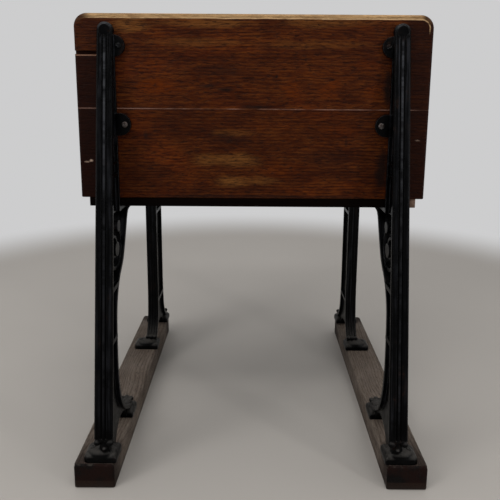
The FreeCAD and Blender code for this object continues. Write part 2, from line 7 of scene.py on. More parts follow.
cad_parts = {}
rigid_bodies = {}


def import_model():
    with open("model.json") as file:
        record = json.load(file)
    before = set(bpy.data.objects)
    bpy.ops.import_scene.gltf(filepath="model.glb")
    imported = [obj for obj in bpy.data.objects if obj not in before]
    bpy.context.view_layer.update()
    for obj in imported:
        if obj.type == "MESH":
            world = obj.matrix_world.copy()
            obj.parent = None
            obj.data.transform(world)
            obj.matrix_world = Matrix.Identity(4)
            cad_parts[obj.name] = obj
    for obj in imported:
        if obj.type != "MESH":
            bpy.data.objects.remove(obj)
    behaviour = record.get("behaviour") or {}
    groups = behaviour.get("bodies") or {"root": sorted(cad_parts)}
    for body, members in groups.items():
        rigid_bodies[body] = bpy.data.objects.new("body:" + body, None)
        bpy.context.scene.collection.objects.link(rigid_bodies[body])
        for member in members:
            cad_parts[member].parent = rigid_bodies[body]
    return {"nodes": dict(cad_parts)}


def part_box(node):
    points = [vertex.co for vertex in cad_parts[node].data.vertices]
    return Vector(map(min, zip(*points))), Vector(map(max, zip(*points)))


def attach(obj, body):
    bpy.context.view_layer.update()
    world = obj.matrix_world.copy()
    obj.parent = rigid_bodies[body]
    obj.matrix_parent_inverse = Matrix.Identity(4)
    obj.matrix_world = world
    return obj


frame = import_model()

for leftover in [o for o in bpy.data.objects if o.name in ("Cube", "Light", "Camera")]:
    bpy.data.objects.remove(leftover)
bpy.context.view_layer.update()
nodes = frame["nodes"]
SIDES = (("left", -1), ("right", 1))

# ---- Places that the finishes and details follow, in metres ------------------------------
upper_low, upper_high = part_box("back_board_upper")
back_face = upper_low.y
top = upper_high.z
half_width = upper_high.x
inside_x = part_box("side_panel_right")[0].x
inside_rear = upper_high.y
inside_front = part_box("front_board")[0].y
pot_low, pot_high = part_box("inkwell_pot")
HINGE, SLOPE = Vector((0, -0.07125, 0.771)), math.radians(9)
LID_UNDER = -0.0190            # the lid's underside, below the hinge line and square to the lid
BOX_FLOOR = 0.4800             # the bottom boards' upper face
NOTCH = 0.7225                 # the lower lip of the notch in the back board's left end
BOARD_CORNER = 0.022           # the round corners of the back board
SOLE_LOW = 0.0445              # the soles' underside, which is the runners' top
FLANGE_MIDDLE, FLANGE_TAPER = 0.24813, 0.00377    # the rear flange's middle, and its drift with z
FLUTE = 0.0034                 # from the flange's middle to a flute
NECK = 0.752                   # where a rear leg's head begins


# ---- Nodes -------------------------------------------------------------------------------
BEVEL_SAMPLES = 6


def add_node(tree, kind, inputs=None, **settings):
    """A new node, with its inputs linked to sockets or set to values."""
    node = tree.nodes.new(kind)
    for key, value in settings.items():
        setattr(node, key, value)
    for key, value in (inputs or {}).items():
        if isinstance(value, bpy.types.NodeSocket):
            tree.links.new(value, node.inputs[key])
        else:
            node.inputs[key].default_value = value
    return node


def seen_directly(tree):
    """1 on the rays that show the backdrop: straight, mirrored or through glass."""
    rays = add_node(tree, "ShaderNodeLightPath").outputs
    seen = rays["Is Camera Ray"]
    for ray in ("Is Glossy Ray", "Is Transmission Ray"):
        larger = add_node(tree, "ShaderNodeMath", {0: seen, 1: rays[ray]}, operation="MAXIMUM")
        seen = larger.outputs[0]
    return seen


def scaled(colour, factor):
    return tuple(factor * channel for channel in colour)


class Graph:
    """One material's nodes, with a short call for each kind that the finishes use."""

    def __init__(self, name, **constants):
        self.material = bpy.data.materials.new(name)
        self.material.use_nodes = True
        self.tree = self.material.node_tree
        self.tree.nodes.clear()
        self.output = self.add("ShaderNodeOutputMaterial")
        self.shader = self.add("ShaderNodeBsdfPrincipled", constants)
        self.tree.links.new(self.shader.outputs[0], self.output.inputs[0])
        self.place = self.add("ShaderNodeTexCoord").outputs["Object"]
        self.normal = self.add("ShaderNodeNewGeometry").outputs["Normal"]

    def add(self, kind, inputs=None, **settings):
        return add_node(self.tree, kind, inputs, **settings)

    def math(self, operation, a, b=0.0):
        return self.add("ShaderNodeMath", {0: a, 1: b}, operation=operation).outputs[0]

    def plus(self, a, b):
        return self.math("ADD", a, b)

    def minus(self, a, b):
        return self.math("SUBTRACT", a, b)

    def times(self, first, *others):
        for other in others:
            first = self.math("MULTIPLY", first, other)
        return first

    def larger(self, a, b):
        return self.math("MAXIMUM", a, b)

    def apart(self, a, b):
        """The distance between two numbers."""
        return self.math("ABSOLUTE", self.minus(a, b))

    def diagonal(self, a, b):
        return self.math("SQRT", self.plus(self.times(a, a), self.times(b, b)))

    def vector(self, operation, a, b=(0, 0, 0)):
        return self.add("ShaderNodeVectorMath", {0: a, 1: b}, operation=operation).outputs[0]

    def length(self, a):
        return self.add("ShaderNodeVectorMath", {0: a}, operation="LENGTH").outputs["Value"]

    def axes(self, vector=None):
        return self.add("ShaderNodeSeparateXYZ", {0: vector or self.place}).outputs[:3]

    def move(self, vector, offset=(0, 0, 0), turn=0.0, scale=(1, 1, 1)):
        """A vector scaled, turned about Z and shifted."""
        inputs = {"Vector": vector, "Location": offset, "Rotation": (0, 0, turn), "Scale": scale}
        return self.add("ShaderNodeMapping", inputs).outputs[0]

    def noise(self, vector, scale=1.0, detail=3.0, roughness=0.55, output=0):
        inputs = {"Vector": vector, "Scale": scale, "Detail": detail, "Roughness": roughness}
        return self.add("ShaderNodeTexNoise", inputs).outputs[output]

    def cloud(self, scale, offset=(0, 0, 0), vector=None, **settings):
        """Noise with its own scale along each axis."""
        return self.noise(self.move(vector or self.place, offset, scale=scale), **settings)

    def swirl(self, scale, offset=(0, 0, 0), vector=None, **settings):
        """A noise vector round zero."""
        noise = self.cloud(scale, offset, vector, output=1, **settings)
        return self.vector("SUBTRACT", noise, (0.5, 0.5, 0.5))

    def span(self, value, low, high, start=0.0, end=1.0):
        """value from low to high, mapped smoothly to start to end."""
        inputs = {"Value": value, "From Min": low, "From Max": high, "To Min": start, "To Max": end}
        return self.add("ShaderNodeMapRange", inputs, interpolation_type="SMOOTHSTEP").outputs[0]

    def ramp(self, value, stops):
        node = self.add("ShaderNodeValToRGB", {"Fac": value})
        points = node.color_ramp.elements
        while len(points) < len(stops):
            points.new(0.5)
        for point, (at, colour) in zip(points, stops):
            point.position = at
            point.color = (*colour, 1)
        return node.outputs["Color"]

    def mix(self, factor, a, b, blend="MIX"):
        """Two colours, as sockets or (red, green, blue); they go in at the node's colour inputs."""
        a, b = [c if isinstance(c, bpy.types.NodeSocket) else (*c, 1) for c in (a, b)]
        inputs = {0: factor, 6: a, 7: b}
        return self.add("ShaderNodeMix", inputs, data_type="RGBA", blend_type=blend).outputs[2]

    def tint(self, colour, by):
        return self.mix(1.0, colour, by, "MULTIPLY")

    def edges(self, radius, low=0.02, high=0.25):
        """1 on the sharp edges, 0 away from them."""
        rounded = self.add("ShaderNodeBevel", {"Radius": radius}, samples=BEVEL_SAMPLES)
        inputs = {0: rounded.outputs[0], 1: self.normal}
        turned = self.add("ShaderNodeVectorMath", inputs, operation="DOT_PRODUCT")
        return self.span(self.minus(1.0, turned.outputs["Value"]), low, high)

    def blob(self, centre, size, ragged):
        """A soft patch, 1 at its centre, whose outline follows the ragged vector."""
        shift = self.vector("MULTIPLY", ragged, scaled(size, 1.3))
        away = self.vector("SUBTRACT", self.vector("ADD", self.place, shift), centre)
        return self.span(self.length(self.vector("DIVIDE", away, size)), 0.25, 1.0, 1.0, 0.0)

    def spots(self, colour, places, ragged, shade, cover=1.0):
        """Paints a ragged spot at each of the places, which are (centre, size, strength)."""
        for centre, size, strength in places:
            mask = self.times(self.blob(centre, size, ragged), cover, strength)
            colour = self.mix(mask, colour, shade)
        return colour

    def finish(self, colour, roughness, height, depth, strength, rounding=None):
        """Wires the shader. height stands depth proud; rounding softens the look of edges."""
        links = self.tree.links
        links.new(colour, self.shader.inputs["Base Color"])
        links.new(roughness, self.shader.inputs["Roughness"])
        inputs = {"Height": height, "Distance": depth, "Strength": strength}
        if rounding:
            bevel = self.add("ShaderNodeBevel", {"Radius": rounding}, samples=BEVEL_SAMPLES)
            inputs["Normal"] = bevel.outputs[0]
        links.new(self.add("ShaderNodeBump", inputs).outputs[0], self.shader.inputs["Normal"])
        return self.material


# ---- Wood --------------------------------------------------------------------------------
DARK_OAK = (0.0165, 0.0033, 0.0010)
RED_OAK = (0.0360, 0.0073, 0.0013)
PALE_OAK = (0.0640, 0.0165, 0.0028)
ORANGE_OAK = (0.072, 0.0130, 0.0007)
GOLD_OAK = (0.122, 0.0480, 0.0110)
BARE_OAK = (0.350, 0.215, 0.100)
BLACK_STAIN = (0.006, 0.003, 0.0024)
OAK_PORE = (0.0075, 0.0022, 0.0010)
# Near black: soot on the runners' end faces, and painted shadow on the bottom boards.
SOOT_AND_SHADE = (0.0012, 0.0006, 0.0005)
CHIPPED = (0.34, 0.24, 0.18)
INK = (0.0065, 0.0058, 0.0105)
INK_DROP = (0.0045, 0.0040, 0.0075)
ALONG_Y = math.pi / 2          # the turn of wood whose grain runs along Y


def grain(g, pith, seed, turn=0.0, ring=0.006, waves=0.016):
    """Growth rings, fibres, streaks and pores of a plank sawn along X, or along Y after a
    turn. pith is the log's middle, across the plank in Y and Z."""
    turned = g.move(g.place, turn=turn)
    shift = (seed, 0, 0)
    low = g.swirl((2.6, 12, 12), shift, turned, detail=2)
    fine = g.swirl((9, 60, 60), shift, turned, detail=3)
    warp = g.vector("MULTIPLY", low, (0, waves, waves))
    jitter = g.vector("MULTIPLY", fine, (0, waves / 7, waves / 7))
    fibred = g.vector("ADD", g.vector("ADD", turned, warp), jitter)
    across = g.vector("MULTIPLY", g.vector("SUBTRACT", fibred, (0, *pith)), (0, 1, 1))
    turns = g.math("FRACT", g.math("DIVIDE", g.length(across), ring))
    rings = g.add("ShaderNodeFloatCurve", {"Value": turns})
    curve = rings.mapping.curves[0]
    for at, to in ((0.12, 0.1), (0.35, 0.75), (0.8, 0.9)):
        curve.points.new(at, to)
    curve.points[0].location = (0, 0.15)
    curve.points[-1].location = (1, 0.15)
    fibre = g.cloud((48, 360, 360), shift, fibred, detail=4, roughness=0.72)
    streak = g.cloud((11, 70, 70), shift, fibred, detail=5, roughness=0.66)
    pore = g.cloud((85, 640, 640), shift, fibred, detail=2)
    fleck = g.cloud((48, 400, 400), (seed + 3, 0, 0), fibred, detail=2)
    pores = g.larger(g.span(pore, 0.54, 0.66), g.span(fleck, 0.60, 0.70, 0.0, 0.55))
    return rings.outputs[0], fibre, streak, pores


def wood_tone(g, parts, weights, spread):
    """Rings, fibre and streak, weighed into one tone from dark to pale."""
    rings, fibre, streak = [g.times(part, weight) for part, weight in zip(parts, weights)]
    return g.span(g.plus(g.plus(rings, fibre), streak), *spread)


def ragged_noise(g, scale=(14, 60, 60)):
    """A vector round zero, for the outlines of patches and stains."""
    return g.swirl(scale, detail=4, roughness=0.65)


def oak(name, patches=(), stains=(), oranges=(), extra=None, wear=0.6, lift=1.0, shine=0.045,
        **sawn):
    """Dark varnished oak. patches are worn golden, oranges show the varnish's own colour and
    stains are black. extra is a function of the graph, the colour and the tone that returns
    the colour with more on it. lift lightens the varnish."""
    g = Graph(name, **{"Specular IOR Level": shine})
    rings, fibre, streak, pore = grain(g, **sawn)
    tone = wood_tone(g, (rings, fibre, streak), weights=(0.11, 0.67, 0.22), spread=(0.32, 0.68))
    shades = ((0.0, DARK_OAK), (0.5, RED_OAK), (1.0, PALE_OAK))
    colour = g.ramp(tone, [(at, scaled(shade, lift)) for at, shade in shades])
    along = g.move(g.place, turn=sawn.get("turn", 0.0))
    warm = g.cloud((7, 16, 16), (3.1, 1.7, 0.4), along, detail=4)
    colour = g.tint(colour, g.mix(g.span(warm, 0.5, 0.72), (1, 1, 1), (1.5, 1.35, 1.1)))
    dull = g.cloud((5, 14, 14), (0.2, 5.7, 2.4), along, detail=4)
    colour = g.mix(g.span(dull, 0.5, 0.74, 0.0, 0.5), colour, scaled(DARK_OAK, lift))
    mottle = g.cloud((11, 34, 34), (1.2, 0.7, 6.4), along, detail=5, roughness=0.66)
    mottle = g.mix(g.span(mottle, 0.34, 0.66), (0.72, 0.66, 0.72), (1.25, 1.26, 1.15))
    colour = g.tint(colour, mottle)
    ragged = ragged_noise(g)
    thread = g.span(fibre, 0.3, 0.6, 0.3, 1.0)
    colour = g.spots(colour, oranges, ragged, ORANGE_OAK, thread)
    colour = g.spots(colour, patches, ragged, GOLD_OAK, thread)
    colour = g.spots(colour, stains, ragged, BLACK_STAIN)
    colour = g.mix(g.times(pore, 0.72), colour, OAK_PORE)
    scuff = g.cloud((60, 60, 60), detail=4, roughness=0.7)
    worn = g.times(g.edges(0.0022), g.span(scuff, 0.42, 0.62), wear)
    colour = g.mix(worn, colour, GOLD_OAK)
    if extra:
        colour = extra(g, colour, tone)
    rough = g.span(g.cloud((20, 70, 70), detail=4), 0.3, 0.7, 0.36, 0.56)
    rough = g.plus(rough, g.times(pore, 0.2))
    height = g.minus(g.times(fibre, 0.5), g.times(pore, 0.8))
    height = g.plus(height, g.times(rings, 0.35))
    return g.finish(colour, rough, height, 0.0006, 0.7)


def rubbed_rim_and_highlight(g, colour, tone):
    """The bare, worn rounded edge along the top of the back board, with a thin pale line of painted
    highlight along its lower border that runs round its right corner."""
    shake = g.vector("MULTIPLY", ragged_noise(g, (9, 30, 30)), (0.003, 0, 0.003))
    x, _, z = g.axes(g.vector("ADD", g.place, shake))
    out = g.larger(g.minus(g.math("ABSOLUTE", x), half_width - BOARD_CORNER), 0.0)
    up = g.larger(g.minus(z, top - BOARD_CORNER), 0.0)
    reach = g.diagonal(out, up)
    edge = g.times(g.span(reach, 0.0128, 0.0145), g.span(x, -0.287, -0.266, 0.06, 0.93),
                   g.span(x, half_width - 0.014, half_width - 0.024, 0.12, 1.0),
                   g.span(z, top - 0.018, top - 0.010))
    patchy = g.cloud((22, 60, 90), detail=5, roughness=0.7)
    bare = g.mix(tone, scaled(BARE_OAK, 0.45), BARE_OAK)
    bare = g.mix(g.span(patchy, 0.48, 0.66, 0.0, 0.6), bare, (0.150, 0.075, 0.028))
    colour = g.mix(edge, colour, bare)
    # Painted highlight: a thin pale line along the lower border of the bare rounding.
    crest = g.times(g.span(reach, 0.0132, 0.0142), g.span(reach, 0.0162, 0.0148),
                    g.span(patchy, 0.62, 0.45, 0.3, 1.0),
                    g.span(x, -0.284, -0.262), g.span(z, top - 0.034, top - 0.018, 0.0, 0.62))
    return g.mix(crest, colour, (0.46, 0.30, 0.16))


def dark_ends(g, colour, left, right):
    """The board ends outside the legs are darker."""
    x, _, z = g.axes()
    deep = g.mix(g.cloud((40, 160, 160), detail=4), (0.0030, 0.0005, 0.0002),
                 (0.0092, 0.0016, 0.0006))
    far_left = g.times(g.span(x, -0.246, -0.262), g.span(z, 0.742, 0.716, 0.4 * left, left))
    colour = g.mix(far_left, colour, deep)
    return g.mix(g.span(x, 0.246, 0.262, 0.0, right), colour, deep)


def seam_highlight(g, colour):
    """A thin pale line of painted highlight along the planks' edges at the seam."""
    _, y, z = g.axes()
    broken = g.cloud((13, 1, 1), detail=3)
    # Painted highlight on the seam's edges, broken along its length.
    line = g.times(g.span(g.apart(z, upper_low.z), 0.0011, 0.0005),
                   g.span(y, back_face + 0.0025, back_face + 0.0012),
                   g.span(broken, 0.40, 0.60, 0.06, 0.75))
    return g.mix(line, colour, (0.20, 0.115, 0.088))


def upper_extra(g, colour, tone):
    """The upper plank: the seam's painted highlight, dark ends, a painted highlight on the notch's
    lower lip and the rubbed top edge with its painted highlight.
    """
    colour = seam_highlight(g, dark_ends(g, inner(g, colour, tone), 0.90, 0.72))
    _, _, z = g.axes()
    shake = g.vector("MULTIPLY", ragged_noise(g, (90, 90, 90)), (0.01, 0, 0))
    x, _, _ = g.axes(g.vector("ADD", g.place, shake))
    # Painted highlight on the lower lip of the notch.
    lip = g.times(g.span(g.apart(z, NOTCH), 0.0016, 0.0006), g.span(x, -0.258, -0.264, 0.0, 0.5))
    return rubbed_rim_and_highlight(g, g.mix(lip, colour, (0.20, 0.11, 0.07)), tone)


def lower_extra(g, colour, tone):
    """The lower plank: the seam's painted highlight, dark ends and three chips in their varnish."""
    colour = seam_highlight(g, dark_ends(g, inner(g, colour, tone), 0.93, 0.78))
    chips = (((-0.287, back_face, 0.5425), (0.006, 0.02, 0.0022), 0.5),
             ((-0.2795, back_face, 0.5445), (0.0045, 0.02, 0.003), 0.85),
             ((0.283, back_face, 0.583), (0.006, 0.02, 0.002), 0.3))
    return g.spots(colour, chips, ragged_noise(g, (150, 150, 150)), CHIPPED)


def bottom_extra(g, colour, tone):
    """Outside, the bottom boards are painted near black as shadow, but for their right end: brown
    end grain with painted light on it, lighter outwards and darker further back."""
    x, y, z = g.axes()
    # Painted shadow: the outside of the bottom boards near black.
    shadowed = g.mix(0.985, colour, SOOT_AND_SHADE)
    # The right end: end grain, with painted light that makes it brown.
    lit_end = g.mix(g.span(x, 0.266, 0.292), (0.050, 0.027, 0.018), (0.200, 0.132, 0.102))
    lit_end = g.mix(g.span(y, -0.150, -0.085, 0.0, 0.85), lit_end, (0.026, 0.013, 0.008))
    lit_end = g.tint(lit_end, g.mix(tone, (0.45, 0.42, 0.40), (1.25, 1.22, 1.20)))
    outside = g.mix(g.span(x, 0.262, 0.272), shadowed, lit_end)
    below = g.span(z, BOX_FLOOR - 0.0002, BOX_FLOOR - 0.0010)
    return inner(g, g.mix(below, colour, outside), tone)


def bare_oak(g, tone):
    return g.mix(tone, (0.034, 0.0145, 0.0062), (0.104, 0.051, 0.024))


def batten_extra(g, colour, tone):
    return g.mix(0.75, colour, bare_oak(g, tone))


def inner(g, colour, tone):
    """Bare dusty oak on the faces that the box's inside shows, with ink spilt and wiped."""
    x, y, z = g.axes()
    over = g.plus(g.times(g.minus(y, HINGE.y), math.sin(SLOPE)),
                  g.times(g.minus(z, HINGE.z), math.cos(SLOPE)))
    mask = g.times(g.span(g.math("ABSOLUTE", x), inside_x + 0.0009, inside_x + 0.0002),
                   g.span(y, inside_rear - 0.0008, inside_rear - 0.0001),
                   g.span(y, inside_front + 0.0008, inside_front + 0.0001),
                   g.span(over, LID_UNDER + 0.0002, LID_UNDER - 0.0005),
                   g.span(z, BOX_FLOOR - 0.0010, BOX_FLOOR - 0.0003))
    dusty = g.cloud((9, 9, 9), (4.4, 2.2, 1.1), detail=5, roughness=0.6)
    dusty = g.mix(g.span(dusty, 0.35, 0.65), (0.62, 0.60, 0.60), (1.15, 1.12, 1.08))
    spills = (((-0.16, -0.07, 0.48), (0.055, 0.045, 0.05), 0.8),
              ((0.09, 0.05, 0.48), (0.03, 0.022, 0.03), 0.7),
              ((0.06, 0.10, 0.48), (0.008, 0.008, 0.02), 0.8),
              ((-0.264, 0.03, 0.56), (0.02, 0.04, 0.05), 0.6))
    ragged = ragged_noise(g, (26, 26, 26))
    return g.mix(mask, colour, g.spots(g.tint(bare_oak(g, tone), dusty), spills, ragged, INK))


def desk_top(g, colour, tone):
    """The writing side: fine scratches, ink spots and a bare inside."""
    fine = g.noise(g.place, scale=24, detail=3)
    for turn, shift in ((0.45, 2.0), (-0.75, 5.0), (1.35, 9.0)):
        turned = g.move(g.place, (shift, 0, 0), turn, (11, 520, 30))
        lines = g.noise(turned, detail=2, roughness=0.5)
        cut = g.times(g.span(lines, 0.69, 0.74), g.span(fine, 0.50, 0.62, 0.0, 0.55))
        colour = g.mix(cut, colour, (0.135, 0.062, 0.022))
    inputs = {"Vector": g.move(g.place, scale=(1, 1, 0.2)), "Scale": 34.0, "Randomness": 1.0}
    spot = g.add("ShaderNodeTexVoronoi", inputs).outputs[0]
    drops = g.times(g.span(spot, 0.13, 0.09), g.span(fine, 0.56, 0.60, 0.0, 0.85))
    return inner(g, g.mix(drops, colour, INK_DROP), tone)


def weathered(name, pith, seed):
    """Unfinished runner wood along Y: grey-brown, dark and greasy at its ends, and darker towards
    the bottom.
    """
    g = Graph(name, **{"Specular IOR Level": 0.08})
    rings, fibre, streak, pore = grain(g, pith, seed, turn=ALONG_Y, ring=0.0065, waves=0.055)
    tone = wood_tone(g, (rings, fibre, streak), weights=(0.16, 0.40, 0.44), spread=(0.16, 0.80))
    colour = g.ramp(tone, [(0.0, (0.034, 0.025, 0.019)), (0.5, (0.074, 0.056, 0.044)),
                           (1.0, (0.125, 0.101, 0.082))])
    _, y, z = g.axes()
    reach = g.math("ABSOLUTE", y)
    cloud = g.cloud((22, 22, 22), detail=4)
    end = g.plus(reach, g.times(g.minus(cloud, 0.5), 0.07))
    colour = g.mix(g.span(end, 0.225, 0.300, 0.0, 0.88), colour, (0.012, 0.007, 0.0055))
    soot = g.mix(g.span(cloud, 0.42, 0.62), SOOT_AND_SHADE, (0.0068, 0.0018, 0.0010))
    soot = g.mix(g.span(z, 0.0155, 0.0130, 0.0, 0.6), soot, (0.017, 0.0095, 0.0065))
    colour = g.mix(g.span(reach, 0.3005, 0.3030), colour, soot)
    # Darker towards the bottom.
    colour = g.mix(g.span(z, 0.012, 0.0, 0.0, 0.6), colour, (0.016, 0.012, 0.010))
    colour = g.mix(g.times(pore, 0.5), colour, (0.003, 0.0022, 0.0018))
    chip = g.noise(g.place, scale=90, detail=3, roughness=0.7)
    worn = g.times(g.edges(0.003), g.span(chip, 0.52, 0.68, 0.0, 0.6),
                   g.span(reach, 0.296, 0.300, 1.0, 0.25))
    colour = g.mix(worn, colour, (0.15, 0.125, 0.10))
    rough = g.span(cloud, 0.3, 0.7, 0.55, 0.8)
    height = g.plus(g.times(fibre, 0.6), g.times(rings, 0.5))
    height = g.minus(height, g.times(pore, 0.6))
    return g.finish(colour, rough, height, 0.0009, 0.8)


# ---- Iron, brass, steel and glaze --------------------------------------------------------
def iron(name, fluted=False):
    """Black japanned cast iron with a sandy skin, pale rubbed edges and streaks on the faces toward
    the front that also serve as painted highlight, and dust on what faces up near the floor. fluted
    adds, for the rear flanges, a bead that is rubbed and painted with highlight, painted shade in
    the flutes and a painted highlight on the crown of the head."""
    g = Graph(name, **{"Specular IOR Level": 0.040 if fluted else 0.055})
    x, _, z = g.axes()
    _, back, up = g.axes(g.normal)
    cloud = g.noise(g.place, scale=26, detail=4, roughness=0.6)
    speck = g.noise(g.place, scale=170, detail=4, roughness=0.75)
    streaks = g.cloud((240, 30, 5), detail=3, roughness=0.6)
    # Pale rubbed edges, which also stand in for painted highlights along the ridges.
    worn = g.times(g.edges(0.0013, 0.04, 0.26), g.span(speck, 0.34, 0.58))
    # Pale streaks on the faces toward the front: rubbed paint and painted highlight.
    rubbed = g.times(g.span(streaks, *((0.44, 0.64) if fluted else (0.52, 0.66))),
                     g.span(back, -0.80, -0.96), g.span(z, 0.085, 0.13))
    if fluted:
        middle = g.minus(FLANGE_MIDDLE, g.times(z, FLANGE_TAPER))
        across = g.minus(g.math("ABSOLUTE", x), middle)
        off = g.math("ABSOLUTE", across)
        # The flutes, which get painted shade below.
        flute = g.times(g.span(g.apart(off, FLUTE), 0.0017, 0.0009),
                        g.span(z, NECK, NECK - 0.006))
        flat = g.minus(1.0, flute)
        worn = g.times(worn, flat)
        # Painted highlight in the streaks: kept off the flutes and the head, stronger on the
        # flange's inner side and towards the top.
        rubbed = g.times(rubbed, flat, g.span(off, 0.0165, 0.0135),
                         g.span(z, NECK + 0.004, NECK - 0.004),
                         g.span(across, -0.002, 0.002, 1.6, 0.9),
                         g.span(z, 0.60, 0.70, 0.3, 1.0))
    colour = g.mix(g.span(cloud, 0.35, 0.7), (0.0002, 0.0002, 0.0003), (0.0010, 0.0010, 0.0012))
    colour = g.mix(g.times(worn, 0.7), colour, (0.058, 0.057, 0.061))
    rust = g.times(g.span(cloud, 0.56, 0.72), g.span(speck, 0.45, 0.62, 0.0, 0.25))
    colour = g.mix(rust, colour, (0.030, 0.012, 0.006))
    rubbed = g.times(rubbed, g.span(cloud, 0.35, 0.6, 0.15, 0.6))
    colour = g.mix(rubbed, colour, (0.020, 0.021, 0.025))
    if fluted:
        broken = g.cloud((1, 1, 70), detail=4, roughness=0.7)
        # Painted highlight on the bead, on the faces toward the front and strongest near the top,
        # where the paint is also rubbed.
        bead = g.times(g.span(off, 0.0026, 0.0014), g.span(back, -0.7, -0.95),
                       g.span(z, NECK, NECK - 0.012), g.span(z, 0.10, 0.16),
                       g.span(broken, 0.38, 0.62, 0.1, 1.0), g.span(z, 0.40, 0.68, 0.22, 1.0))
        colour = g.mix(bead, colour, (0.030, 0.031, 0.035))
        # Painted shade in the flutes.
        colour = g.mix(g.times(flute, 0.9), colour, (0.0001, 0.0001, 0.0002))
        # Painted highlight on the crown of the head, on the faces toward the front.
        crown = g.times(g.span(z, 0.762, 0.772), g.span(speck, 0.35, 0.6),
                        g.span(back, -0.99, -0.9, 0.0, 0.6))
        colour = g.mix(crown, colour, (0.040, 0.041, 0.044))
    dust = g.times(g.span(up, 0.25, 0.95), g.span(z, 0.14, 0.06, 0.0, 0.5),
                   g.span(speck, 0.25, 0.6, 0.35, 1.0))
    colour = g.mix(dust, colour, (0.060, 0.055, 0.050))
    rough = g.plus(g.span(cloud, 0.3, 0.7, 0.24, 0.40), g.times(dust, 0.4))
    skin = g.noise(g.place, scale=420, detail=3, roughness=0.6)
    lumps = g.noise(g.place, scale=75, detail=2)
    return g.finish(colour, rough, g.plus(g.times(skin, 0.35), lumps), 0.0009, 0.5, 0.002)


def metal(name, shades, metallic, rough, tarnish):
    """A small fitting: polished where it is rubbed, tarnished where it isn't."""
    g = Graph(name, Metallic=metallic)
    cloud = g.noise(g.place, scale=170, detail=6, roughness=0.72)
    colour = g.mix(g.span(cloud, 0.3, 0.7), *shades)
    colour = g.mix(g.span(cloud, 0.6, 0.42, 0.0, 0.6), colour, tarnish)
    colour = g.mix(g.times(g.edges(0.0009), 0.5), colour, shades[1])
    scratch = g.cloud((500, 60, 60), detail=3)
    height = g.plus(g.times(scratch, 0.4), cloud)
    return g.finish(colour, g.span(cloud, 0.3, 0.7, *rough), height, 0.0003, 0.5, 0.0004)


def glaze(name, low, high):
    """White glazed earthenware with a fine craze, and ink dried round the mouth. low and high
    are the corners of the pot's box."""
    g = Graph(name, **{"Coat Weight": 0.6, "Coat Roughness": 0.08})
    inputs = {"Vector": g.place, "Scale": 330.0}
    cell = g.add("ShaderNodeTexVoronoi", inputs, feature="DISTANCE_TO_EDGE").outputs[0]
    cloud = g.noise(g.place, scale=90, detail=4, roughness=0.65)
    colour = g.mix(g.span(cloud, 0.35, 0.7), (0.50, 0.465, 0.395), (0.61, 0.58, 0.515))
    colour = g.mix(g.span(cell, 0.035, 0.0, 0.0, 0.3), colour, (0.25, 0.20, 0.15))
    middle = ((low.x + high.x) / 2, (low.y + high.y) / 2, 0.0)
    x, y, z = g.axes(g.vector("SUBTRACT", g.place, middle))
    reach = g.plus(g.diagonal(x, y), g.times(g.minus(cloud, 0.5), 0.018))
    ink = g.times(g.span(reach, 0.0155, 0.0105), g.span(z, high.z - 0.020, high.z - 0.012))
    inside = g.times(g.span(reach, 0.021, 0.019), g.span(z, high.z - 0.004, high.z - 0.006))
    colour = g.mix(g.larger(ink, inside), colour, (0.006, 0.007, 0.020))
    return g.finish(colour, g.span(cloud, 0.3, 0.7, 0.12, 0.3), cloud, 0.0002, 0.3)


# ---- Shapes ------------------------------------------------------------------------------
IRON_PIECE = ("desk", "leg_iron")          # the body that iron details ride on, and their slot


def dress(node, material):
    """Gives a CAD node its finish, in every material slot that it has."""
    for place in nodes[node].material_slots:
        place.material = material


def soften(node, width, segments):
    """Rounds a CAD node's sharp edges a little; its mesh stays as it is under the
    modifiers."""
    obj = nodes[node]
    weld = obj.modifiers.new("weld", "WELD")
    weld.merge_threshold = 1e-5
    bevel = obj.modifiers.new("arris", "BEVEL")
    bevel.width = width
    bevel.segments = segments
    bevel.limit_method = "ANGLE"
    bevel.angle_limit = math.radians(35)
    bevel.harden_normals = True


def piece(name, mesh, material, body, slot):
    """A new object from a finished bmesh, which rides on a body."""
    data = bpy.data.meshes.new(name)
    mesh.normal_update()
    mesh.to_mesh(data)
    mesh.free()
    obj = bpy.data.objects.new(name, data)
    bpy.context.scene.collection.objects.link(obj)
    data.materials.append(material)
    for face in data.polygons:
        face.use_smooth = True
    data.set_sharp_from_angle(angle=math.radians(40))
    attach(obj, body)
    return obj


def everything(mesh):
    return mesh.verts[:] + mesh.edges[:] + mesh.faces[:]


def block(mesh, low, high):
    """Adds a box to a bmesh; low and high are any two opposite corners. Returns its middle
    and its size."""
    middle = (Vector(low) + Vector(high)) / 2
    size = Vector(map(abs, Vector(high) - Vector(low)))
    verts = bmesh.ops.create_cube(mesh, size=1.0)["verts"]
    place = Matrix.Translation(middle) @ Matrix.Diagonal((*size, 1))
    bmesh.ops.transform(mesh, verts=verts, matrix=place)
    return middle, size


def skinned(mesh, rings):
    """Joins rows of as many points into a tube with closed ends."""
    for low, high in zip(rings, rings[1:]):
        for k in range(len(low)):
            after = (k + 1) % len(low)
            mesh.faces.new((low[k], low[after], high[after], high[k]))
    mesh.faces.new(rings[0])
    mesh.faces.new(rings[-1])
    bmesh.ops.recalc_face_normals(mesh, faces=mesh.faces)
    return mesh


def turned_solid(profile):
    """A turned solid round +Z from (radius, height) points that start and end on the axis."""
    steps = 28
    mesh = bmesh.new()
    rows = []
    for radius, height in profile:
        if radius == 0:
            rows.append([mesh.verts.new((0, 0, height))])
            continue
        angles = [2 * math.pi * k / steps for k in range(steps)]
        rows.append([mesh.verts.new((radius * math.cos(a), radius * math.sin(a), height))
                     for a in angles])
    for low, high in zip(rows, rows[1:]):
        for k in range(steps):
            ring = [low[k % len(low)], low[(k + 1) % len(low)],
                    high[(k + 1) % len(high)], high[k % len(high)]]
            mesh.faces.new(list(dict.fromkeys(ring)))
    bmesh.ops.recalc_face_normals(mesh, faces=mesh.faces)
    return mesh


